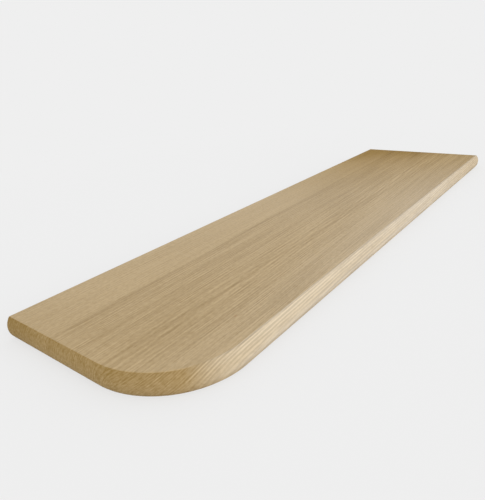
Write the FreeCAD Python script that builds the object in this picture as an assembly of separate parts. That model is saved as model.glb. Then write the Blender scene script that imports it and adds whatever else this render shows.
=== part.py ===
"""Stair tread: one solid oak board with a rounded front corner and a shallow convex edge.

The board lies flat, as it does in a stair, and all sizes are in millimetres. X runs along
its length, from the open end with the rounded corner to the wall end, which is cut square.
Y runs from the front edge to the back edge, and Z is up. The origin is the middle of the
underside. One edge moulding runs along the front, round the corner and along the open end.
"""

import FreeCAD
import Part
import math
import os

# Driving dimensions
tread_length = 1000.0       # over all, from the open end to the wall end
tread_depth = 265.0         # over all, from the front edge to the back edge
tread_thickness = 27.0
corner_radius = 105.0       # plan radius of the rounded corner, at the outermost line of its edge
edge_bulge = 5.0            # how far the middle of the moulded edge stands out past its two arrises
arris_radius = 2.0          # rounding of those arrises, where the edge meets the flat faces
square_edge_ease = 0.5      # rounding of the sawn edges, all round the back edge and the wall end

QUARTER_TURN = 90.0
UP = FreeCAD.Vector(0, 0, 1)
ALONG = FreeCAD.Vector(1, 0, 0)
BACKWARD = FreeCAD.Vector(0, 1, 0)
ORIGIN = FreeCAD.Vector(0, 0, 0)
FLATNESS = 1e-6             # an edge this close to a plane lies in it

# Places worked out from the sizes
open_end_x = -tread_length / 2
wall_end_x = tread_length / 2
front_edge_y = -tread_depth / 2
back_edge_y = tread_depth / 2
corner_centre = FreeCAD.Vector(open_end_x + corner_radius, front_edge_y + corner_radius, 0)


def arc_through(centre, radius, start_angle, end_angle, at):
    """Circular arc about centre, given as (out, up), between two angles in radians."""
    def point(angle):
        return at(centre[0] + radius * math.cos(angle), centre[1] + radius * math.sin(angle))
    middle_angle = (start_angle + end_angle) / 2
    return Part.Arc(point(start_angle), point(middle_angle), point(end_angle)).toShape()


def moulded_section(reach):
    """Face of the board's section across a moulded edge.

    The section starts with a square cut on the Z axis and runs out along -X until the
    middle of the moulded edge, which is at the given reach.
    """
    def at(out, up):
        return FreeCAD.Vector(-out, 0, up)

    half = tread_thickness / 2
    edge_radius = (half ** 2 + edge_bulge ** 2) / (2 * edge_bulge)
    edge_centre = (reach - edge_radius, half)

    # Each arris arc touches a flat face and, from inside, the arc of the edge.
    rise = half - arris_radius
    run = math.sqrt((edge_radius - arris_radius) ** 2 - rise ** 2)
    arris_out = edge_centre[0] + run
    touch_angle = math.atan2(rise, run)

    top_arris = (arris_out, tread_thickness - arris_radius)
    bottom_arris = (arris_out, arris_radius)
    outline = [
        Part.makeLine(at(0, 0), at(arris_out, 0)),
        arc_through(bottom_arris, arris_radius, -math.pi / 2, -touch_angle, at),
        arc_through(edge_centre, edge_radius, -touch_angle, touch_angle, at),
        arc_through(top_arris, arris_radius, touch_angle, math.pi / 2, at),
        Part.makeLine(at(arris_out, tread_thickness), at(0, tread_thickness)),
        Part.makeLine(at(0, tread_thickness), at(0, 0)),
    ]
    return Part.Face(Part.Wire(outline))


def placed(shape, place, turn=0.0):
    """Copy of a shape, turned about the Z axis by an angle in degrees and then moved to a place."""
    moved = shape.copy()
    moved.rotate(ORIGIN, UP, turn)
    moved.translate(place)
    return moved


def rounded_corner():
    """Quarter of a turned disc: the section of the edge, swung from the open end to the front."""
    section = placed(moulded_section(corner_radius), corner_centre)
    return section.revolve(corner_centre, UP, QUARTER_TURN)


def open_end_strip():
    """The stretch of the board behind the rounded corner, with the edge along the open end."""
    section = placed(moulded_section(corner_radius), corner_centre)
    return section.extrude(BACKWARD * (tread_depth - corner_radius))


def main_board():
    """The rest of the board, from the corner to the wall end, with the edge along the front."""
    start = FreeCAD.Vector(corner_centre.x, back_edge_y, 0)
    section = placed(moulded_section(tread_depth), start, QUARTER_TURN)
    return section.extrude(ALONG * (tread_length - corner_radius))


def sawn_edges(solid):
    """Edges that lie in the two sawn faces, at the back of the board and at its wall end."""
    def sawn(edge):
        box = edge.BoundBox
        in_back = box.YMin > back_edge_y - FLATNESS
        in_wall_end = box.XMin > wall_end_x - FLATNESS
        return in_back or in_wall_end
    return [edge for edge in solid.Edges if sawn(edge)]


def tread():
    """The whole tread as one solid, with its sawn edges eased."""
    joined = main_board().fuse([open_end_strip(), rounded_corner()]).removeSplitter()
    solid = joined.Solids[0]
    return solid.makeFillet(square_edge_ease, sawn_edges(solid))


os.makedirs("parts", exist_ok=True)
tread().exportStep("parts/tread.step")
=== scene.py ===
"""Stair tread in solid oak: the moulded board with its grain, on a pale studio floor.

The board is one mesh, worked out by a Geometry Nodes tree from the frame's box and the sizes
of its edge moulding. One description of the growth rings serves that tree, which presses the
soft wood in a little, and the finish, which colours the same rings.
"""

import logging
import math
from dataclasses import dataclass, field
from enum import Enum
from typing import Any, Dict, List, Optional, Tuple, Union

import bpy
from mathutils import Matrix, Vector


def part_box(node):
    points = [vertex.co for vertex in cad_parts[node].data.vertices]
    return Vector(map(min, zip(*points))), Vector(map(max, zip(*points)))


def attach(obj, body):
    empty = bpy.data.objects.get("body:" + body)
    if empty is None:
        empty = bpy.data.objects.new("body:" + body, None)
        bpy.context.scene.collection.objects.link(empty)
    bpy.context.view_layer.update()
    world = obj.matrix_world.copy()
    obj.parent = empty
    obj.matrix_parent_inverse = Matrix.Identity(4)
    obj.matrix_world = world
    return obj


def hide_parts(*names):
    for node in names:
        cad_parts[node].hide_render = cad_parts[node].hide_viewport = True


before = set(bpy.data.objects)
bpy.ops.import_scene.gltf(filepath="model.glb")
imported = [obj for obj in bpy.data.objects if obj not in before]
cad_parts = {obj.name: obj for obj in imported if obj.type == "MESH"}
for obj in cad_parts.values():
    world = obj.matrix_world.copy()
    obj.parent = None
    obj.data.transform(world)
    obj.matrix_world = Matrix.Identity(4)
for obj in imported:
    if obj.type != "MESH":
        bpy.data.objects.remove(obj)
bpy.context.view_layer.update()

LOG = logging.getLogger("stair_tread")

TREAD_NODE = "tread"
BODY = "root"

MM = 0.001
PER_MM = 1000.0
FULL_TURN = 2 * math.pi
QUARTER_TURN = math.pi / 2

Colour = Tuple[float, float, float, float]
Triple = Tuple[float, float, float]
Value = Union["Wire", float]


class Wire:
    """Output socket of a node; Python's operators on it add Math nodes to the tree."""

    def __init__(self, graph: "Graph", socket: bpy.types.NodeSocket) -> None:
        """Keeps the socket and the graph that it belongs to."""
        self.graph = graph
        self.socket = socket

    def beside(self, output: Union[str, int]) -> "Wire":
        """Another output of the same node."""
        return Wire(self.graph, self.socket.node.outputs[output])

    def __add__(self, other: Value) -> "Wire":
        """Sum."""
        return self.graph.math("ADD", self, other)

    def __radd__(self, other: Value) -> "Wire":
        """Sum with a number on the left."""
        return self.graph.math("ADD", other, self)

    def __sub__(self, other: Value) -> "Wire":
        """Difference."""
        return self.graph.math("SUBTRACT", self, other)

    def __rsub__(self, other: Value) -> "Wire":
        """Difference from a number on the left."""
        return self.graph.math("SUBTRACT", other, self)

    def __mul__(self, other: Value) -> "Wire":
        """Product."""
        return self.graph.math("MULTIPLY", self, other)

    def __rmul__(self, other: Value) -> "Wire":
        """Product with a number on the left."""
        return self.graph.math("MULTIPLY", other, self)

    def __truediv__(self, other: Value) -> "Wire":
        """Quotient."""
        return self.graph.math("DIVIDE", self, other)

    def __rtruediv__(self, other: Value) -> "Wire":
        """Quotient of a number on the left."""
        return self.graph.math("DIVIDE", other, self)

    def __pow__(self, other: Value) -> "Wire":
        """Power."""
        return self.graph.math("POWER", self, other)

    def __neg__(self) -> "Wire":
        """Opposite."""
        return self.graph.math("MULTIPLY", self, -1.0)

    def __abs__(self) -> "Wire":
        """Size without its sign."""
        return self.graph.math("ABSOLUTE", self)


class Graph:
    """Builds the nodes of one tree, for a material, for the world or for Geometry Nodes."""

    def __init__(self, tree: bpy.types.NodeTree) -> None:
        """Starts on a tree and clears it."""
        self.tree = tree
        tree.nodes.clear()

    def node(
        self,
        kind: str,
        settings: Optional[Dict[str, Any]] = None,
        sockets: Optional[Dict[Union[str, int], Any]] = None,
        output: Union[str, int] = 0,
    ) -> Wire:
        """Adds one node.

        Args:
            kind: Blender's name for the node's type.
            settings: The node's own settings, which are set first.
            sockets: Values or wires for its input sockets, by name or place.
            output: Which of its outputs is wanted.

        Returns:
            The wire from that output, or an empty wire for a node that has none.
        """
        made = self.tree.nodes.new(kind)
        for name, setting in (settings or {}).items():
            setattr(made, name, setting)
        for name, value in (sockets or {}).items():
            if isinstance(value, Wire):
                self.tree.links.new(value.socket, made.inputs[name])
            else:
                made.inputs[name].default_value = value
        return Wire(self, made.outputs[output]) if made.outputs else Wire(self, None)

    def math(self, operation: str, *values: Value) -> Wire:
        """One Math node on numbers or wires."""
        return self.node("ShaderNodeMath", {"operation": operation}, dict(enumerate(values)))

    def vector(self, operation: str, *values: Union[Wire, Triple]) -> Wire:
        """One Vector Math node on vectors."""
        return self.node("ShaderNodeVectorMath", {"operation": operation}, dict(enumerate(values)))

    def lesser(self, one: Value, other: Value) -> Wire:
        """The lesser of two values."""
        return self.math("MINIMUM", one, other)

    def greater(self, one: Value, other: Value) -> Wire:
        """The greater of two values."""
        return self.math("MAXIMUM", one, other)

    def between(self, value: Value, low: Value, high: Value) -> Wire:
        """The value, held between two limits."""
        return self.lesser(self.greater(value, low), high)

    def choose(self, share: Value, at_none: Value, at_full: Value) -> Wire:
        """One value at a share of 0 and another at 1."""
        return self.node("ShaderNodeMix", {}, {0: share, 2: at_none, 3: at_full})

    def rise(self, value: Value, low: Value, high: Value, least: Value = 0.0, most: Value = 1.0) -> Wire:
        """Smooth step from least, where the value is low, to most, where it is high."""
        return self.node(
            "ShaderNodeMapRange",
            {"interpolation_type": "SMOOTHSTEP"},
            {0: value, 1: low, 2: high, 3: least, 4: most},
        )

    def axes(self, vector: Wire) -> Tuple[Wire, Wire, Wire]:
        """The three parts of a vector."""
        x = self.node("ShaderNodeSeparateXYZ", {}, {0: vector}, "X")
        return x, x.beside("Y"), x.beside("Z")

    def joined(self, x: Value, y: Value, z: Value) -> Wire:
        """A vector from its three parts."""
        return self.node("ShaderNodeCombineXYZ", {}, {0: x, 1: y, 2: z})

    def noise(self, place: Wire, detail: float = 0.0, roughness: float = 0.5) -> Wire:
        """Smooth noise about 0, mostly between -0.5 and 0.5, with features one unit of place apart."""
        sockets = {"Vector": place, "Scale": 1.0, "Detail": detail, "Roughness": roughness}
        return self.node("ShaderNodeTexNoise", {"noise_dimensions": "3D"}, sockets) - 0.5

    def noise_along(self, distance: Wire, detail: float = 0.0, roughness: float = 0.5) -> Wire:
        """The same noise along one distance only."""
        sockets = {"W": distance, "Scale": 1.0, "Detail": detail, "Roughness": roughness}
        return self.node("ShaderNodeTexNoise", {"noise_dimensions": "1D"}, sockets) - 0.5

    def tint(self, share: Value, at_none: Union[Wire, Colour], at_full: Union[Wire, Colour]) -> Wire:
        """One colour at a share of 0 and another at 1."""
        return self.node("ShaderNodeMix", {"data_type": "RGBA"}, {0: share, 6: at_none, 7: at_full}, 2)

    def painted_shade(self, share: Value, colour: Wire, painted_shade: Colour) -> Wire:
        """A colour with painted shade laid over it, by multiplying with another colour, at a share from 0 to
        1.
        """
        settings = {"data_type": "RGBA", "blend_type": "MULTIPLY"}
        return self.node("ShaderNodeMix", settings, {0: share, 6: colour, 7: painted_shade}, 2)


@dataclass(frozen=True)
class Ramp:
    """Smooth step over some measure: least up to low, and most from high on."""

    low: float
    high: float
    least: float = 0.0
    most: float = 1.0

    def at(self, measure: Wire) -> Wire:
        """The step's value for a value of the measure."""
        return measure.graph.rise(measure, self.low, self.high, self.least, self.most)


@dataclass(frozen=True)
class Cloud:
    """Smooth noise in space, about 0, with features of a size of their own in each direction."""

    size: Triple
    detail: float = 0.0
    roughness: float = 0.5

    def at(self, along: Wire, across: Value, up: Value) -> Wire:
        """The noise at a place, by three measures of it that need not be those of the frame."""
        parts = [part / size for part, size in zip((along, across, up), self.size)]
        return along.graph.noise(along.graph.joined(*parts), self.detail, self.roughness)


@dataclass(frozen=True)
class GrowthRings:
    """The growth rings of the log that the board was sawn from, in millimetres.

    The rings run along the board. They stand nearly upright in the back of it, lean over most
    some way in from the front edge, and lean less again at that edge.
    """

    drift: float = 0.02
    middle_z: float = 13.5
    lean: Ramp = Ramp(-65.0, -20.0, 1.2, 0.15)
    less_lean_in_front: Ramp = Ramp(75.0, 130.0, 0.0, 0.58)
    slow_wander: Cloud = Cloud((420.0, 75.0, 150.0))
    slow_reach: float = 9.0
    quick_wander: Cloud = Cloud((150.0, 16.0, 60.0))
    quick_reach: float = 1.0
    ring_width: float = 2.6
    run_of_years: float = 17.0
    uneven_growth: float = 6.0
    soft_run: float = 6.5
    softness: Ramp = Ramp(-0.22, 0.22)
    pale_years: Ramp = Ramp(60.0, 65.0)

    def around(self, place: Wire) -> Tuple[Wire, Wire]:
        """Place among the rings.

        Args:
            place: The point on the board, in millimetres.

        Returns:
            The distance through the rings, and the height up them.
        """
        x, y, z = place.graph.axes(place)
        slow = self.slow_wander.at(x, y, z) * self.slow_reach
        wander = slow + self.quick_wander.at(x, y, z) * self.quick_reach
        lean = self.lean.at(y) - self.less_lean_in_front.at(-y)
        height = z - self.middle_z
        return y + lean * height - x * self.drift + wander, height

    def growth(self, through: Wire) -> Wire:
        """Count of rings, with good and poor years."""
        good_and_poor = through.graph.noise_along(through / self.run_of_years, detail=1.0)
        return (through + good_and_poor * self.uneven_growth) / self.ring_width

    def soft_bands(self, through: Wire) -> Wire:
        """Where several years together grew softer, from 0 in hard wood to 1 in soft wood."""
        return self.softness.at(through.graph.noise_along(through / self.soft_run, detail=2.0, roughness=0.6))


@dataclass(frozen=True)
class Spot:
    """A point of the board's surface, in millimetres.

    through and height place it among the growth rings, and in_pale_years is 1 in the paler strip
    at the back. to_wall, to_back and upward say which way the surface faces, and side is 1 where
    it stands upright and 0 where it lies flat.
    """

    place: Wire
    x: Wire
    y: Wire
    z: Wire
    through: Wire
    height: Wire
    in_pale_years: Wire
    to_wall: Wire
    to_back: Wire
    upward: Wire
    side: Wire

    @classmethod
    def of_material(cls, graph: Graph, rings: GrowthRings) -> "Spot":
        """The point that a material works on.

        Args:
            graph: The material's tree.
            rings: The growth rings of the board.

        Returns:
            The point, from Object coordinates.
        """
        coordinates = graph.node("ShaderNodeTexCoord", {}, {}, "Object")
        place = graph.vector("MULTIPLY", coordinates, (PER_MM, PER_MM, PER_MM))
        through, height = rings.around(place)
        in_pale_years = rings.pale_years.at(through)
        to_wall, to_back, upward = graph.axes(coordinates.beside("Normal"))
        facing = (to_wall, to_back, upward, 1.0 - abs(upward))
        return cls(place, *graph.axes(place), through, height, in_pale_years, *facing)

    @property
    def graph(self) -> Graph:
        """The tree that the point belongs to."""
        return self.place.graph


@dataclass(frozen=True)
class EdgeMasks:
    """Where a point is on the moulded edge.

    out is the distance from the corner's centre lines. on_edge is 1 on the moulded edge, off_edge
    is 1 elsewhere, nosing nears 1 on the edge's front stretch, corner is 1 half way round its corner,
    and end_cut is 1 where end grain shows, at either end.
    """

    out: Wire
    on_edge: Wire
    off_edge: Wire
    nosing: Wire
    corner: Wire
    end_cut: Wire


@dataclass(frozen=True)
class MouldedEdge:
    """The moulded edge, found by the place in plan, in millimetres, and by the way that the surface faces."""

    corner_centre: Tuple[float, float] = (-395.0, -27.5)
    least_out: float = 1.0
    end_start: float = 99.3
    front_start: float = 97.0
    later_in_corner: float = 1.5
    start: Ramp = Ramp(0.0, 0.6)
    moulded: Ramp = Ramp(0.3, 0.7, 1.0, 0.0)
    front: Ramp = Ramp(0.745, 1.03)
    end_grain: Ramp = Ramp(0.25, 0.85)

    def masks(self, spot: Spot) -> EdgeMasks:
        """Finds the edge.

        Args:
            spot: The point on the board.

        Returns:
            The masks of the edge, without the sawn back edge and wall end.
        """
        graph = spot.graph
        end_part = graph.greater(self.corner_centre[0] - spot.x, 0.0)
        front_part = graph.greater(self.corner_centre[1] - spot.y, 0.0)
        length = graph.math("SQRT", end_part * end_part + front_part * front_part)
        out = graph.greater(length, self.least_out)
        to_end = end_part / out
        to_front = front_part / out
        # The product is at most a half, half way round the corner.
        both = to_end * to_front
        front = self.front.at(to_front)
        start = graph.choose(front, self.end_start, self.front_start) + both * self.later_in_corner
        moulded = self.moulded.at(graph.greater(spot.to_wall, spot.to_back))
        on_edge = self.start.at(out - start) * moulded
        corner = on_edge * (both * 2.0) ** 2.0
        end_cut = graph.greater(on_edge * self.end_grain.at(to_end), self.end_grain.at(spot.to_wall))
        return EdgeMasks(out, on_edge, 1.0 - on_edge, on_edge * front, corner, end_cut)


@dataclass(frozen=True)
class Grain:
    """One scale of the grain: lines about so far apart, in millimetres, that come and go along the board."""

    spacing: float
    length: float
    share: float
    lines_together: float = 2.5
    fade_height: float = 40.0

    def lines(self, spot: Spot) -> Wire:
        """Works out the lines.

        Args:
            spot: The point on the board.

        Returns:
            The lines, about 0, at the strength that they show.
        """
        spread = self.spacing * self.lines_together
        up = spot.height / self.fade_height + self.spacing
        fading = spot.graph.noise(spot.graph.joined(spot.x / self.length, spot.through / spread, up))
        waves = spot.graph.math("SINE", spot.through * (FULL_TURN / self.spacing))
        return waves * (fading * self.share)


@dataclass(frozen=True)
class EdgeLines:
    """Fine lines along the nosing and round the corner, where the moulding cuts the rings at a slant.

    Short dashes break them up. Lengths are in millimetres.
    """

    spacing: float = 3.3
    wide_spacing: float = 4.95
    wide_share: float = 2.5
    uneven: Cloud = Cloud((120.0, 8.0, 1.0))
    strength: float = 0.6
    contrast: float = 1.2
    weaker_below: Ramp = Ramp(-0.2, 0.3, 0.25, 1.0)
    dashes: Cloud = Cloud((30.0, 1.8, 1.0), 1.0, 0.7)
    dash_layer: float = 0.5
    dash_share: float = 2.2
    nosing_share: float = 0.95
    corner_share: float = 0.30

    def depth(self, spot: Spot, edge: EdgeMasks) -> Wire:
        """How much deeper the lines make the wood.

        Args:
            spot: The point on the board.
            edge: Where it is on the moulded edge.

        Returns:
            The lines, about 0.
        """
        uneven = self.uneven.at(spot.x, spot.through, 0.0)
        strength = (self.strength + uneven * self.contrast) * self.weaker_below.at(spot.upward)
        close = spot.graph.math("SINE", spot.through * (FULL_TURN / self.spacing))
        wide = spot.graph.math("SINE", spot.through * (FULL_TURN / self.wide_spacing))
        dashes = self.dashes.at(spot.x, spot.through, self.dash_layer) * self.dash_share
        lines = (close + wide * uneven * self.wide_share) * strength + dashes
        share = edge.nosing * self.nosing_share + edge.corner * (1.0 - edge.nosing) * self.corner_share
        return lines * share


@dataclass(frozen=True)
class Marks:
    """What the figure does at a point: how much deeper the wood is, and the marks that other looks follow."""

    depth: Wire
    bands: Wire
    pores: Wire
    ring_lines: Wire


@dataclass(frozen=True)
class Figure:
    """The figure of the oak: bands, grain lines, rings, pores, streaks and rays.

    Lengths are in millimetres. A share says how far a mark takes the wood from pale to deep.
    """

    rings: GrowthRings
    bands: Cloud = Cloud((170.0, 9.0, 80.0))
    band_share: float = 0.65
    grains: Tuple[Grain, ...] = (Grain(3.5, 42.0, 1.6), Grain(5.4, 62.0, 1.05), Grain(8.8, 85.0, 0.35))
    paler_lines: float = 0.4
    edge_lines: EdgeLines = EdgeLines()
    early_wood: Ramp = Ramp(0.0, 0.5, 1.0, 0.0)
    ring_start: Ramp = Ramp(0.0, 0.12)
    change_of_years: float = 0.37
    ring_strength: float = 0.5
    ring_contrast: float = 1.8
    ring_share: float = 0.22
    pores: Cloud = Cloud((14.0, 0.5, 0.5), 1.0)
    pore_edge: Ramp = Ramp(0.06, 0.22)
    pore_share: float = 0.10
    mottle: Cloud = Cloud((6.0, 3.0, 3.0), 1.5, 0.7)
    less_mottle_on_end: float = 0.3
    more_mottle_on_nosing: float = 0.1
    specks: Cloud = Cloud((1.2, 3.6, 30.0), 1.0, 0.8)
    speck_share: float = 1.25
    streaks: Cloud = Cloud((55.0, 2.4, 60.0), 1.0, 0.55)
    streak_edge: Ramp = Ramp(0.09, 0.19)
    streak_share: float = 0.22
    flecks: Cloud = Cloud((11.0, 9.0, 1.1), 1.0)
    fleck_slant: float = 11.0 / 26.0
    fleck_edge: Ramp = Ramp(0.10, 0.26)
    fleck_share: float = 0.05
    strip_line: Ramp = Ramp(0.0, 7.0, 0.14, 0.0)
    calm_open_end: Ramp = Ramp(-480.0, -320.0, 0.65, 1.0)
    calm_strip: float = 0.4
    calm_end_lines: float = 0.35
    calm_end_rings: float = 0.4
    calm_side: float = 0.4
    calm_corner: float = 0.5
    more_rings_on_side: float = 2.4

    def ring_lines(self, spot: Spot) -> Wire:
        """The dark early wood of each year, stronger in some years than in others.

        Args:
            spot: The point on the board.

        Returns:
            The lines, from 0 in late wood to 1 in the darkest early wood.
        """
        growth = self.rings.growth(spot.through)
        season = spot.graph.math("FRACT", growth)
        early = self.early_wood.at(season) * self.ring_start.at(season)
        years = spot.graph.noise_along(growth * self.change_of_years, detail=1.0)
        return early * spot.graph.between(self.ring_strength + years * self.ring_contrast, 0.0, 1.0)

    def open_pores(self, spot: Spot) -> Wire:
        """Open pores, as fine dark dashes along the grain: 0 in closed wood, 1 in a pore."""
        return self.pore_edge.at(self.pores.at(spot.x, spot.y, spot.z))

    def dark_streaks(self, spot: Spot) -> Wire:
        """Bundles of pores that run together into dark streaks along the grain, from 0 to 1."""
        return self.streak_edge.at(self.streaks.at(spot.x, spot.through, spot.height))

    def pale_flecks(self, spot: Spot) -> Wire:
        """Medullary rays, which show as pale flecks where a face is cut along them, from 0 to 1."""
        slanted = spot.x + spot.through * self.fleck_slant
        return self.fleck_edge.at(self.flecks.at(slanted, spot.through, spot.height))

    def end_specks(self, spot: Spot) -> Wire:
        """Pores that are cut across, as short marks up the end grain, about 0."""
        return self.specks.at(spot.through, spot.height, spot.x)

    def short_marks(self, spot: Spot, edge: EdgeMasks) -> Wire:
        """Short soft marks all over the wood, a little longer along the grain than across it, about 0."""
        strength = 1.0 - edge.end_cut * self.less_mottle_on_end + edge.nosing * self.more_mottle_on_nosing
        return self.mottle.at(spot.x, spot.y, spot.z) * strength

    def marks(self, spot: Spot, edge: EdgeMasks) -> Marks:
        """Puts the marks together.

        Args:
            spot: The point on the board.
            edge: Where it is on the moulded edge.

        Returns:
            The marks at that point.
        """
        bands = self.bands.at(spot.x, spot.through, spot.height)
        grain = bands * self.band_share
        for scale in self.grains:
            grain = grain + scale.lines(spot)
        pores = self.open_pores(spot)
        ring_lines = self.ring_lines(spot)
        from_strip = abs(spot.through - self.rings.pale_years.low)

        calm = self.calm_open_end.at(spot.x)
        strip = 1.0 - spot.in_pale_years * self.calm_strip
        busy = strip * (1.0 - edge.end_cut * self.calm_end_lines) * (1.0 - spot.side * self.calm_side)
        busy = busy * (1.0 - edge.corner * self.calm_corner)
        ringed = strip * (1.0 - edge.end_cut * self.calm_end_rings)
        ringed = ringed * (1.0 + spot.side * self.more_rings_on_side)
        lines = grain * busy * calm
        depth = (
            lines * (1.0 - lines * self.paler_lines)
            + self.edge_lines.depth(spot, edge)
            + ring_lines * self.ring_share * ringed
            + self.end_specks(spot) * self.speck_share * edge.end_cut
            + pores * self.pore_share
            + self.short_marks(spot, edge)
            + self.dark_streaks(spot) * self.streak_share * busy
            + self.strip_line.at(from_strip) * calm
            - self.pale_flecks(spot) * self.fleck_share
        )
        return Marks(depth, bands, pores, ring_lines)


@dataclass(frozen=True)
class FaceTone:
    """How the wood deepens and pales over the faces and the end grain, apart from its figure; at the open end
    this is partly painted shade.

    The ramps run along the board, across it or out from the corner's centre lines, in millimetres.
    """

    strip_pale: Ramp = Ramp(0.0, 250.0, 0.20, 0.08)
    strip_open_end: Ramp = Ramp(-490.0, -380.0, 0.45, 1.0)
    corner_margin: Ramp = Ramp(60.0, 95.0, 0.0, 0.10)
    corner_margin_back: Ramp = Ramp(20.0, 80.0, 1.0, 0.0)
    corner_margin_end: Ramp = Ramp(-400.0, -300.0, 1.0, 0.0)
    front_middle: Ramp = Ramp(35.0, 70.0, 0.0, 0.08)
    front_middle_start: Ramp = Ramp(-260.0, -160.0)
    front_middle_end: Ramp = Ramp(50.0, 250.0, 1.0, 0.0)
    front_margin: Ramp = Ramp(112.0, 122.0, 0.0, 0.07)
    front_margin_start: Ramp = Ramp(-260.0, -120.0)
    open_end_back: Ramp = Ramp(30.0, 130.0, 0.05, 0.44)
    open_end_front: Ramp = Ramp(20.0, 60.0, 0.0, 0.12)
    open_half: Ramp = Ramp(0.0, 100.0)
    wall_end: float = 0.12

    def end_grain(self, spot: Spot) -> Wire:
        """How much deeper end grain is: a little as its own colour, and at the open end more as painted
        shade, most at the back and again towards the corner.
        """
        # Painted shade at the back of the open end and towards its corner, over end grain's own deeper
        # colour.
        open_end = self.open_end_back.at(spot.y) + self.open_end_front.at(-spot.y)
        return spot.graph.choose(self.open_half.at(-spot.x), self.wall_end, open_end)

    def depth(self, spot: Spot, edge: EdgeMasks) -> Wire:
        """How much deeper the wood is than its plain tone.

        Args:
            spot: The point on the board.
            edge: Where it is on the moulded edge.

        Returns:
            The change of depth, about 0.
        """
        x, y = spot.x, spot.y
        strip = spot.in_pale_years * self.strip_pale.at(x) * self.strip_open_end.at(x)
        corner = self.corner_margin.at(edge.out) * self.corner_margin_back.at(y)
        corner = corner * self.corner_margin_end.at(x)
        middle = self.front_middle.at(-y) * self.front_middle_start.at(x) * self.front_middle_end.at(x)
        margin = self.front_margin.at(-y) * self.front_margin_start.at(x)
        return (margin - middle - corner) * edge.off_edge - strip + edge.end_cut * self.end_grain(spot)


@dataclass(frozen=True)
class EdgeLightAndShade:
    """Painted light and shade on the moulded edge, which deepens and pales by the way that it faces and along
    the nosing.

    Ramps along the nosing are in millimetres, and ramps by the way it faces run from -1, down, to 1, up.
    """

    facing: Ramp = Ramp(-0.25, 0.60)
    below: float = -0.04
    below_on_nosing: float = -0.10
    above: float = 0.13
    above_on_nosing: float = 0.05
    end_arris: Ramp = Ramp(0.45, 0.90, 0.0, 0.08)
    upper_nosing: Ramp = Ramp(0.15, 0.40, 0.0, 0.10)
    upper_nosing_start: Ramp = Ramp(-250.0, -50.0)
    near_start: Ramp = Ramp(-400.0, -340.0)
    near_pale: Ramp = Ramp(-300.0, -150.0, 0.06, 0.0)
    near_arris: Ramp = Ramp(0.50, 0.90)
    near_arris_pale: Ramp = Ramp(-250.0, -100.0, 0.20, 0.0)
    wall_end_deep: Ramp = Ramp(200.0, 500.0, 0.0, 0.2)
    underside: Ramp = Ramp(0.10, 0.45)
    underside_deep: Ramp = Ramp(-330.0, -180.0, 0.26, 0.40)
    # Painted sheen on the nosing: the share of the pale grey along it, more at its near start.
    sheen_along: Ramp = Ramp(200.0, 520.0, 0.22, 0.165)
    near_sheen_begin: Ramp = Ramp(-400.0, -350.0)
    near_sheen: Ramp = Ramp(-250.0, -100.0, 0.05, 0.0)

    def depth(self, spot: Spot, edge: EdgeMasks) -> Wire:
        """How much deeper the edge is than the faces, as painted shade and painted highlight.

        Args:
            spot: The point on the board.
            edge: Where it is on the moulded edge.

        Returns:
            The change of depth, about 0.
        """
        x, upward, nosing = spot.x, spot.upward, edge.nosing
        # Painted shade on the upward-facing part of the edge, and painted light on its downward-facing part.
        below = self.below + nosing * self.below_on_nosing
        above = self.above + nosing * self.above_on_nosing
        facing = spot.graph.choose(self.facing.at(upward), below, above)
        # Along the nosing: painted shade on its upper part, towards the wall end and on its underside;
        # painted highlight at its near start and near arris.
        along_nosing = (
            self.upper_nosing.at(upward) * self.upper_nosing_start.at(x)
            - self.near_start.at(x) * self.near_pale.at(x)
            - self.near_arris.at(upward) * self.near_arris_pale.at(x)
            + self.wall_end_deep.at(x)
            + self.underside.at(-upward) * self.underside_deep.at(x)
        )
        # Painted shade on the upward-facing arris of the end and the corner.
        end_arris = self.end_arris.at(upward) * (edge.on_edge - nosing)
        return facing * edge.on_edge + end_arris + along_nosing * nosing

    def nosing_sheen(self, spot: Spot, edge: EdgeMasks) -> Wire:
        """How far the nosing gets a painted sheen, paler and greyer than the faces, from 0 to 1."""
        near = self.near_sheen_begin.at(spot.x) * self.near_sheen.at(spot.x)
        return (self.sheen_along.at(spot.x) + near) * edge.nosing


@dataclass(frozen=True)
class PaintedFarShade:
    """Painted shade: the wood deeper and yellower towards the wall end, most in its back corner, where light
    and sheen fall off, in millimetres.
    """

    colour: Colour = (0.690, 0.610, 0.320, 1.0)
    sway: float = 60.0
    whole: Ramp = Ramp(100.0, 500.0, 0.0, 0.22)
    corner: Ramp = Ramp(390.0, 560.0, 0.0, 0.80)
    corner_slope: float = 0.8
    band: Ramp = Ramp(10.0, 85.0, 0.28, 0.0)
    band_y: float = 27.0
    band_slope: float = 0.15
    band_start: Ramp = Ramp(-60.0, 110.0)
    band_end: Ramp = Ramp(330.0, 440.0, 1.0, 0.0)
    middle: Ramp = Ramp(5.0, 35.0, 0.28, 0.0)
    middle_y: float = 25.0
    middle_start: Ramp = Ramp(330.0, 410.0)

    def share(self, spot: Spot, edge: EdgeMasks, bands: Wire) -> Wire:
        """How far the painted shade takes.

        Args:
            spot: The point on the board.
            edge: Where it is on the moulded edge.
            bands: The bands of the figure, along which the painted shade runs on.

        Returns:
            The painted shade's share, from 0 to 1.
        """
        x = spot.x
        y = spot.y + bands * self.sway
        corner = self.corner.at(x + y * self.corner_slope)
        from_band = abs(y - x * self.band_slope - self.band_y)
        band = self.band.at(from_band) * self.band_start.at(x) * self.band_end.at(x)
        middle = self.middle.at(abs(y - self.middle_y)) * self.middle_start.at(x)
        stained = spot.graph.between(self.whole.at(x) + corner + band + middle, 0.0, 1.0)
        return stained * (1.0 - spot.side) * (1.0 - edge.nosing)


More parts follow.
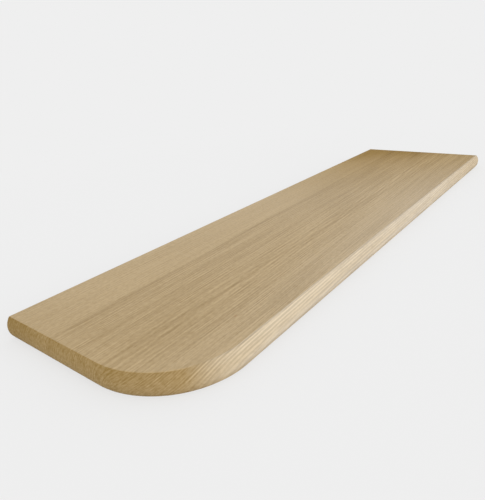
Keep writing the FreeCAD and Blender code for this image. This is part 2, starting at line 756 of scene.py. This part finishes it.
@dataclass(frozen=True)
class PinKnot:
    """A pin knot in the top face, in millimetres."""

    place: Triple = (-362.0, -90.0, 27.0)
    squeeze: Triple = (0.75, 1.2, 0.35)
    edge: Ramp = Ramp(1.0, 2.0, 1.0, 0.0)
    colour: Colour = (0.310, 0.172, 0.048, 1.0)

    def share(self, spot: Spot) -> Wire:
        """Marks the knot.

        Args:
            spot: The point on the board.

        Returns:
            1 inside the knot and 0 outside it.
        """
        away = spot.graph.vector("SUBTRACT", spot.place, self.place)
        squeezed = spot.graph.vector("MULTIPLY", away, self.squeeze)
        return self.edge.at(spot.graph.vector("LENGTH", squeezed).beside("Value"))


@dataclass(frozen=True)
class Oil:
    """The oil on the wood, polished up most along the nosing, less on the faces and not on end grain.

    The ramps run along the board or across it, in millimetres, or by the way that the surface faces.
    """

    dry_roughness: float = 0.85
    polished_roughness: float = 0.36
    coat_roughness: float = 0.36
    coat_ior: float = 1.8
    gloss: float = 0.3
    face: Ramp = Ramp(0.55, 0.85, 0.0, 0.5)
    far_back: Ramp = Ramp(0.0, 580.0, 1.0, 0.0)
    far_back_slope: float = 0.7
    front_half: Ramp = Ramp(40.0, 130.0)
    more_in_front: Ramp = Ramp(-200.0, 300.0, 1.55, 1.25)
    along_nosing: Ramp = Ramp(0.0, 500.0, 1.0, 0.45)
    under_nosing: Ramp = Ramp(-0.50, -0.15, 0.2, 1.0)
    gap_at_pore: float = 0.3
    rougher_at_pore: float = 0.1

    def polish(self, spot: Spot, edge: EdgeMasks) -> Wire:
        """How far the oil is polished up.

        Args:
            spot: The point on the board.
            edge: Where it is on the moulded edge.

        Returns:
            The polish, from 0 to 1.
        """
        graph = spot.graph
        far_back = self.far_back.at(spot.x + spot.y * self.far_back_slope)
        front = graph.choose(self.front_half.at(-spot.y), 1.0, self.more_in_front.at(spot.x))
        face = self.face.at(abs(spot.upward)) * edge.off_edge * far_back * front
        nosing = self.along_nosing.at(spot.x) * self.under_nosing.at(spot.upward)
        return graph.choose(edge.nosing, face, nosing)


@dataclass(frozen=True)
class OakFinish:
    """Oak, sanded fine and oiled to a low sheen."""

    rings: GrowthRings
    name: str = "oiled_oak"
    pale_wood: Colour = (0.448, 0.318, 0.151, 1.0)
    deep_wood: Colour = (0.258, 0.160, 0.041, 1.0)
    # Pale grey of the painted sheen on the nosing.
    painted_sheen_colour: Colour = (0.750, 0.700, 0.590, 1.0)
    cross_and_sheen_wood: Colour = (0.250, 0.220, 0.190, 1.0)
    cross_and_sheen_share: float = 0.12
    tone: float = 0.412
    edge: MouldedEdge = MouldedEdge()
    face_tone: FaceTone = FaceTone()
    edge_light_and_shade: EdgeLightAndShade = EdgeLightAndShade()
    painted_far_shade: PaintedFarShade = PaintedFarShade()
    knot: PinKnot = PinKnot()
    oil: Oil = Oil()
    bump_depth: float = 0.10 * MM
    bump_strength: float = 0.55
    pore_depth: float = 0.7
    ring_depth: float = 0.3

    def colour(self, spot: Spot, edge: EdgeMasks, marks: Marks) -> Wire:
        """The colour of the wood, with painted light and shade on the moulded edge, a painted sheen on the
        nosing and painted shade towards the wall end.

        Args:
            spot: The point on the board.
            edge: Where it is on the moulded edge.
            marks: The marks of the figure at that point.

        Returns:
            The colour.
        """
        graph = spot.graph
        # The edge's part of the depth is painted light and shade.
        depth = self.tone + marks.depth + self.face_tone.depth(spot, edge) + self.edge_light_and_shade.depth(spot, edge)
        wood = graph.tint(graph.between(depth, 0.0, 1.0), self.pale_wood, self.deep_wood)
        # Painted sheen: the nosing tinted towards a pale grey, in place of the reflection on it.
        wood = graph.tint(self.edge_light_and_shade.nosing_sheen(spot, edge), wood, self.painted_sheen_colour)
        # Painted shade: the far end and its back corner darkened and yellowed, where the light falls off.
        wood = graph.painted_shade(self.painted_far_shade.share(spot, edge, marks.bands), wood, self.painted_far_shade.colour)
        # Greyer half way round the corner: partly where the moulding cuts across the grain, partly painted
        # sheen.
        wood = graph.tint(edge.corner * self.cross_and_sheen_share, wood, self.cross_and_sheen_wood)
        return graph.tint(self.knot.share(spot), wood, self.knot.colour)

    def material(self) -> bpy.types.Material:
        """Builds the material.

        Returns:
            The material, with its colour, roughness, oil and bump all worked out from Object coordinates.
        """
        made = bpy.data.materials.new(self.name)
        made.use_nodes = True
        graph = Graph(made.node_tree)
        spot = Spot.of_material(graph, self.rings)
        edge = self.edge.masks(spot)
        marks = Figure(self.rings).marks(spot, edge)
        polish = self.oil.polish(spot, edge)
        roughness = graph.choose(polish, self.oil.dry_roughness, self.oil.polished_roughness)
        level = 1.0 - marks.pores * self.pore_depth - marks.ring_lines * self.ring_depth
        bump = graph.node(
            "ShaderNodeBump",
            {},
            {"Strength": self.bump_strength, "Distance": self.bump_depth, "Height": level},
        )
        surface = graph.node(
            "ShaderNodeBsdfPrincipled",
            {},
            {
                "Base Color": self.colour(spot, edge, marks),
                "Roughness": roughness + marks.pores * self.oil.rougher_at_pore,
                "Specular IOR Level": self.oil.gloss,
                "Normal": bump,
                "Coat Weight": polish * (1.0 - marks.pores * self.oil.gap_at_pore),
                "Coat Roughness": self.oil.coat_roughness,
                "Coat IOR": self.oil.coat_ior,
            },
        )
        graph.node("ShaderNodeOutputMaterial", {}, {"Surface": surface})
        return made


class InputKind(Enum):
    """Kinds of input that the board's tree takes."""

    LENGTH = "NodeSocketFloat"
    COUNT = "NodeSocketInt"
    FINISH = "NodeSocketMaterial"


@dataclass
class Tread:
    """The board: a box of grid lines, drawn on to the outline and the edge moulding by rule.

    Its length, depth and thickness are those of the frame's node. Sizes are in metres.
    """

    rings: GrowthRings
    corner_radius: float = 105 * MM
    edge_bulge: float = 5 * MM
    arris_radius: float = 2 * MM
    sawn_ease: float = 0.5 * MM
    ease_steps: int = 2
    guard: float = 1 * MM
    guards: int = 2
    relief: float = 0.07 * MM
    columns: int = 76
    rows: int = 300
    levels: int = 33
    edge_share: float = 0.76
    name: str = "oak_tread"
    low: Vector = field(default_factory=lambda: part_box(TREAD_NODE)[0])
    high: Vector = field(default_factory=lambda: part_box(TREAD_NODE)[1])

    def inputs(self, finish: bpy.types.Material) -> List[Tuple[str, InputKind, Any]]:
        """Lists the named inputs of the shape's tree.

        Args:
            finish: The material that the board gets.

        Returns:
            The name, kind and value of each input.
        """
        lengths = {
            "Open End": self.low.x,
            "Wall End": self.high.x,
            "Front Edge": self.low.y,
            "Back Edge": self.high.y,
            "Thickness": self.high.z - self.low.z,
            "Corner Radius": self.corner_radius,
            "Edge Bulge": self.edge_bulge,
            "Arris Radius": self.arris_radius,
            "Sawn Ease": self.sawn_ease,
            "Guard": self.guard,
            "Relief": self.relief,
        }
        counts = {"Columns": self.columns, "Rows": self.rows, "Levels": self.levels}
        listed = [(name, InputKind.LENGTH, value) for name, value in lengths.items()]
        listed += [(name, InputKind.COUNT, value) for name, value in counts.items()]
        return listed + [("Finish", InputKind.FINISH, finish)]

    def profile(self, graph: Graph, given: Dict[str, Wire], level: Wire) -> Tuple[Wire, Wire]:
        """The moulded edge in section, as three arcs that run into each other.

        Args:
            graph: The tree to add nodes to.
            given: The tree's inputs by name.
            level: From -1 at the underside to 1 at the top.

        Returns:
            How far a point of the section lies in from the outermost line, and its height.
        """
        half = given["Thickness"] / 2.0
        bulge, arris = given["Edge Bulge"], given["Arris Radius"]
        edge_radius = (half * half + bulge * bulge) / (bulge * 2.0)
        rise = half - arris
        run = graph.math("SQRT", (edge_radius - arris) ** 2.0 - rise * rise)
        touch = graph.math("ARCTAN2", rise, run)

        up = abs(level)
        on_edge = graph.math("LESS_THAN", up, self.edge_share)
        edge_angle = touch * up / self.edge_share
        arris_angle = touch + (QUARTER_TURN - touch) * (up - self.edge_share) / (1 - self.edge_share)
        angle = graph.choose(on_edge, arris_angle, edge_angle)
        arc_radius = graph.choose(on_edge, arris, edge_radius)
        arc_out = graph.choose(on_edge, run, 0.0)
        arc_up = graph.choose(on_edge, rise, 0.0)

        out = arc_out + arc_radius * graph.math("COSINE", angle)
        height = arc_up + arc_radius * graph.math("SINE", angle)
        return edge_radius - out, half + height * graph.math("SIGN", level)

    @staticmethod
    def eased(graph: Graph, ease: Wire, distance: Wire) -> Wire:
        """How far a face falls back at a distance from a sawn edge, over a round of the ease's radius."""
        short = graph.greater(ease - distance, 0.0)
        return ease - graph.math("SQRT", graph.greater(ease * ease - short * short, 0.0))

    def place(self, graph: Graph, given: Dict[str, Wire], point: Wire) -> Wire:
        """Draws a point of the box on to the board.

        Args:
            graph: The tree to add nodes to.
            given: The tree's inputs by name.
            point: The point on a box of side 1 about the origin.

        Returns:
            The point on the board, in the frame.
        """
        along, across, up = graph.axes(point)
        ease, guard, radius = given["Sawn Ease"], given["Guard"], given["Corner Radius"]
        inset, height = self.profile(graph, given, up * 2.0)

        # Rows count from the back edge: its eased edge first, then the open end and the corner.
        straight = given["Back Edge"] - given["Front Edge"] - radius
        corner = radius * QUARTER_TURN
        row = (0.5 - across) * (given["Rows"] - 1.0)
        row_step = (straight + corner - ease) / (given["Rows"] - (1.0 + self.ease_steps))
        eased_rows = graph.lesser(row, self.ease_steps) * ease / self.ease_steps
        from_back = eased_rows + graph.greater(row - self.ease_steps, 0.0) * row_step
        turn = graph.greater(from_back - straight, 0.0) / radius
        back_drop = self.eased(graph, ease, from_back)

        # Columns count from the wall end: its eased edge first, then evenly between two guard lines.
        column = (0.5 - along) * (given["Columns"] - 1.0)
        even = given["Columns"] - (1.0 + self.ease_steps + self.guards)
        near_wall = graph.lesser(column, self.ease_steps) * ease / self.ease_steps
        past_ease = graph.math("GREATER_THAN", column, self.ease_steps + 0.5)
        wall_drop = self.eased(graph, ease, graph.choose(past_ease, near_wall, ease))
        drop = graph.greater(back_drop, wall_drop)

        swing = radius - inset - drop
        centre_x = given["Open End"] + radius
        left = centre_x - swing * graph.math("COSINE", turn)
        back = given["Back Edge"] - wall_drop
        y = graph.lesser(given["Back Edge"] - graph.lesser(from_back, straight), back)
        y = y - swing * graph.math("SINE", turn)

        column_step = (given["Wall End"] - left - ease - guard * self.guards) / even
        after_ease = column - self.ease_steps
        after_guard = column - (self.ease_steps + 1.0)
        from_wall = (
            near_wall
            + graph.between(after_ease, 0.0, 1.0) * guard
            + graph.between(after_guard, 0.0, even) * column_step
            + graph.between(after_guard - even, 0.0, 1.0) * guard
        )
        half = given["Thickness"] / 2.0
        z = half + (height - half) * (half - drop) / half
        return graph.joined(given["Wall End"] - from_wall, y, z)

    def tree(self, finish: bpy.types.Material) -> Tuple[bpy.types.NodeTree, Dict[str, Any]]:
        """Builds the Geometry Nodes tree of the board.

        Args:
            finish: The material that the board gets.

        Returns:
            The tree, and the value of each input by its socket's identifier.
        """
        made = bpy.data.node_groups.new("tread_shape", "GeometryNodeTree")
        values = {}
        for name, kind, value in self.inputs(finish):
            socket = made.interface.new_socket(name=name, in_out="INPUT", socket_type=kind.value)
            values[socket.identifier] = value
        made.interface.new_socket(name="Board", in_out="OUTPUT", socket_type="NodeSocketGeometry")

        graph = Graph(made)
        first = graph.node("NodeGroupInput")
        given = {name: first.beside(name) for name, _, _ in self.inputs(finish)}
        counts = {
            "Vertices X": given["Columns"],
            "Vertices Y": given["Rows"],
            "Vertices Z": given["Levels"],
        }
        box = graph.node("GeometryNodeMeshCube", {}, {"Size": (1.0, 1.0, 1.0), **counts}, "Mesh")
        point = graph.node("GeometryNodeInputPosition")
        placed = {"Geometry": box, "Position": self.place(graph, given, point)}
        board = graph.node("GeometryNodeSetPosition", {}, placed)
        smooth = graph.node("GeometryNodeSetShadeSmooth", {}, {0: board, "Shade Smooth": True})

        here = graph.vector("MULTIPLY", graph.node("GeometryNodeInputPosition"), (PER_MM, PER_MM, PER_MM))
        soft = self.rings.soft_bands(self.rings.around(here)[0])
        depth = -(soft * given["Relief"])
        normal = graph.node("GeometryNodeInputNormal")
        inward = graph.vector("MULTIPLY", normal, graph.joined(depth, depth, depth))
        pressed = graph.node("GeometryNodeSetPosition", {}, {"Geometry": smooth, "Offset": inward})

        whole = graph.node("GeometryNodeRealizeInstances", {}, {"Geometry": pressed})
        dressed = graph.node("GeometryNodeSetMaterial", {}, {"Geometry": whole, "Material": given["Finish"]})
        graph.node("NodeGroupOutput", {}, {0: dressed})
        return made, values

    def build(self, finish: bpy.types.Material) -> bpy.types.Object:
        """Makes the board as a plain mesh, in place.

        Args:
            finish: The material that the board gets.

        Returns:
            The board's object, with no modifier left on it.
        """
        made = bpy.data.objects.new(self.name, bpy.data.meshes.new(self.name + "_seed"))
        bpy.context.scene.collection.objects.link(made)
        shape = made.modifiers.new("shape", "NODES")
        shape.node_group, values = self.tree(finish)
        for identifier, value in values.items():
            shape[identifier] = value
        bpy.context.view_layer.update()
        depsgraph = bpy.context.evaluated_depsgraph_get()
        mesh = bpy.data.meshes.new_from_object(made.evaluated_get(depsgraph), depsgraph=depsgraph)
        mesh.name = self.name
        made.modifiers.remove(shape)
        made.data = mesh
        return made

    def dress(self, board: bpy.types.Object) -> None:
        """Ties the board to the frame: it rides on the body and stands for the node.

        Args:
            board: The board's object.
        """
        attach(board, BODY)
        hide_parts(TREAD_NODE)
        LOG.info("%s: %d faces", board.name, len(board.data.polygons))


@dataclass(frozen=True)
class Lamp:
    """One distant lamp, by the direction that its light comes from. Its spread is in degrees."""

    name: str
    towards: Triple
    strength: float
    spread: float
    mirrored: bool = True
    distance: float = 2.0

    def place(self) -> bpy.types.Object:
        """Adds the lamp to the scene, hidden from the camera.

        Returns:
            The lamp's object, aimed at the origin.
        """
        light = bpy.data.lights.new(self.name, "SUN")
        light.energy = self.strength
        light.angle = math.radians(self.spread)
        made = bpy.data.objects.new(self.name, light)
        bpy.context.scene.collection.objects.link(made)
        direction = Vector(self.towards).normalized()
        made.location = direction * self.distance
        made.rotation_euler = direction.to_track_quat("Z", "Y").to_euler()
        made.visible_camera = False
        made.visible_glossy = self.mirrored
        return made


@dataclass(frozen=True)
class Viewpoint:
    """The camera, by its place in metres and its turns in degrees."""

    eye: Triple = (-0.6858, -0.3706, 0.2794)
    yaw: float = 39.202
    pitch: float = 22.549
    roll: float = 4.411
    focal_pixels: float = 466.25
    long_side_pixels: float = 500.0
    sensor: float = 36.0
    near_limit: float = 0.01

    def place(self) -> bpy.types.Object:
        """Adds the camera and makes it the scene's own.

        Returns:
            The camera's object.
        """
        yaw, pitch, roll = (math.radians(turn) for turn in (self.yaw, self.pitch, self.roll))
        forward = Vector((
            math.cos(pitch) * math.cos(yaw),
            math.cos(pitch) * math.sin(yaw),
            -math.sin(pitch),
        ))
        level_right = forward.cross(Vector((0.0, 0.0, 1.0))).normalized()
        level_up = level_right.cross(forward)
        right = level_right * math.cos(roll) - level_up * math.sin(roll)
        up = level_right * math.sin(roll) + level_up * math.cos(roll)

        lens = bpy.data.cameras.new("camera")
        lens.sensor_width = self.sensor
        lens.lens = self.focal_pixels * self.sensor / self.long_side_pixels
        lens.clip_start = self.near_limit
        made = bpy.data.objects.new("camera", lens)
        bpy.context.scene.collection.objects.link(made)
        turned = Matrix((right, up, -forward)).transposed()
        made.matrix_world = Matrix.Translation(self.eye) @ turned.to_4x4()
        bpy.context.scene.camera = made
        return made


@dataclass
class Studio:
    """A pale floor that runs on into a pale surround, with soft light."""

    pale: Colour = (0.863, 0.863, 0.863, 1.0)
    floor_colour: Colour = (0.757, 0.757, 0.757, 1.0)
    sky_strength: float = 0.92
    floor_radius: float = 12.0
    floor_sides: int = 96
    plain_share: float = 0.78
    shadow_reach: Tuple[float, float] = (0.55, 1.1)
    viewpoint: Viewpoint = Viewpoint()
    lamps: Tuple[Lamp, ...] = (
        Lamp("key", (-0.05, -0.95, 0.30), 1.4, 35.0, mirrored=False),
        Lamp("edge_light", (0.749, -0.585, 0.309), 0.5, 70.0),
        Lamp("end_light", (-0.93, -0.25, 0.27), 0.12, 60.0),
    )

    @staticmethod
    def seen(graph: Graph) -> Wire:
        """Tells rays that show the surround from rays that carry its light.

        Args:
            graph: The tree to add nodes to.

        Returns:
            1 for rays from the camera, mirrored rays and rays through glass, and 0 for light on surfaces.
        """
        path = graph.node("ShaderNodeLightPath", {}, {}, "Is Camera Ray")
        mirrored = graph.greater(path.beside("Is Glossy Ray"), path.beside("Is Transmission Ray"))
        return graph.greater(path, mirrored)

    def surround(self) -> None:
        """Makes the world: soft even light, which shows as the pale surround."""
        world = bpy.data.worlds.new("surround")
        world.use_nodes = True
        bpy.context.scene.world = world
        graph = Graph(world.node_tree)
        light = (self.sky_strength, self.sky_strength, self.sky_strength, 1.0)
        colour = graph.tint(self.seen(graph), light, self.pale)
        background = graph.node("ShaderNodeBackground", {}, {"Color": colour, "Strength": 1.0})
        graph.node("ShaderNodeOutputWorld", {}, {"Surface": background})

    def floor_finish(self) -> bpy.types.Material:
        """Makes the floor's material.

        Returns:
            The material, matt and pale near the board, and plain surround further off.
        """
        made = bpy.data.materials.new("pale_floor")
        made.use_nodes = True
        graph = Graph(made.node_tree)
        place = graph.node("ShaderNodeTexCoord", {}, {}, "Object")
        away = graph.vector("LENGTH", place).beside("Value")
        near, far = self.shadow_reach
        matt = graph.node("ShaderNodeBsdfDiffuse", {}, {"Color": self.floor_colour})
        plain = graph.node("ShaderNodeEmission", {}, {"Color": self.pale, "Strength": 1.0})
        share = graph.rise(away, near, far, self.plain_share, 1.0) * self.seen(graph)
        surface = graph.node("ShaderNodeMixShader", {}, {0: share, 1: matt, 2: plain})
        graph.node("ShaderNodeOutputMaterial", {}, {"Surface": surface})
        return made

    def floor(self) -> bpy.types.Object:
        """Makes the floor.

        Returns:
            The floor's object, one flat disc under the board.
        """
        mesh = bpy.data.meshes.new("floor")
        radius = self.floor_radius
        turns = [FULL_TURN * side / self.floor_sides for side in range(self.floor_sides)]
        rim = [(radius * math.cos(turn), radius * math.sin(turn), 0.0) for turn in turns]
        mesh.from_pydata(rim, [], [list(range(self.floor_sides))])
        mesh.materials.append(self.floor_finish())
        made = bpy.data.objects.new("floor", mesh)
        bpy.context.scene.collection.objects.link(made)
        return made

    def build(self) -> None:
        """Sets up the floor, the surround, the lamps and the camera."""
        self.surround()
        self.floor()
        for lamp in self.lamps:
            lamp.place()
        self.viewpoint.place()
        bpy.context.scene.view_settings.view_transform = "Standard"
        LOG.info("studio: %d lamps", len(self.lamps))


def main() -> None:
    """Builds the board and the studio."""
    logging.basicConfig(level=logging.INFO, format="%(message)s")
    rings = GrowthRings()
    tread = Tread(rings)
    tread.dress(tread.build(OakFinish(rings).material()))
    Studio().build()


if __name__ == "__main__":
    main()
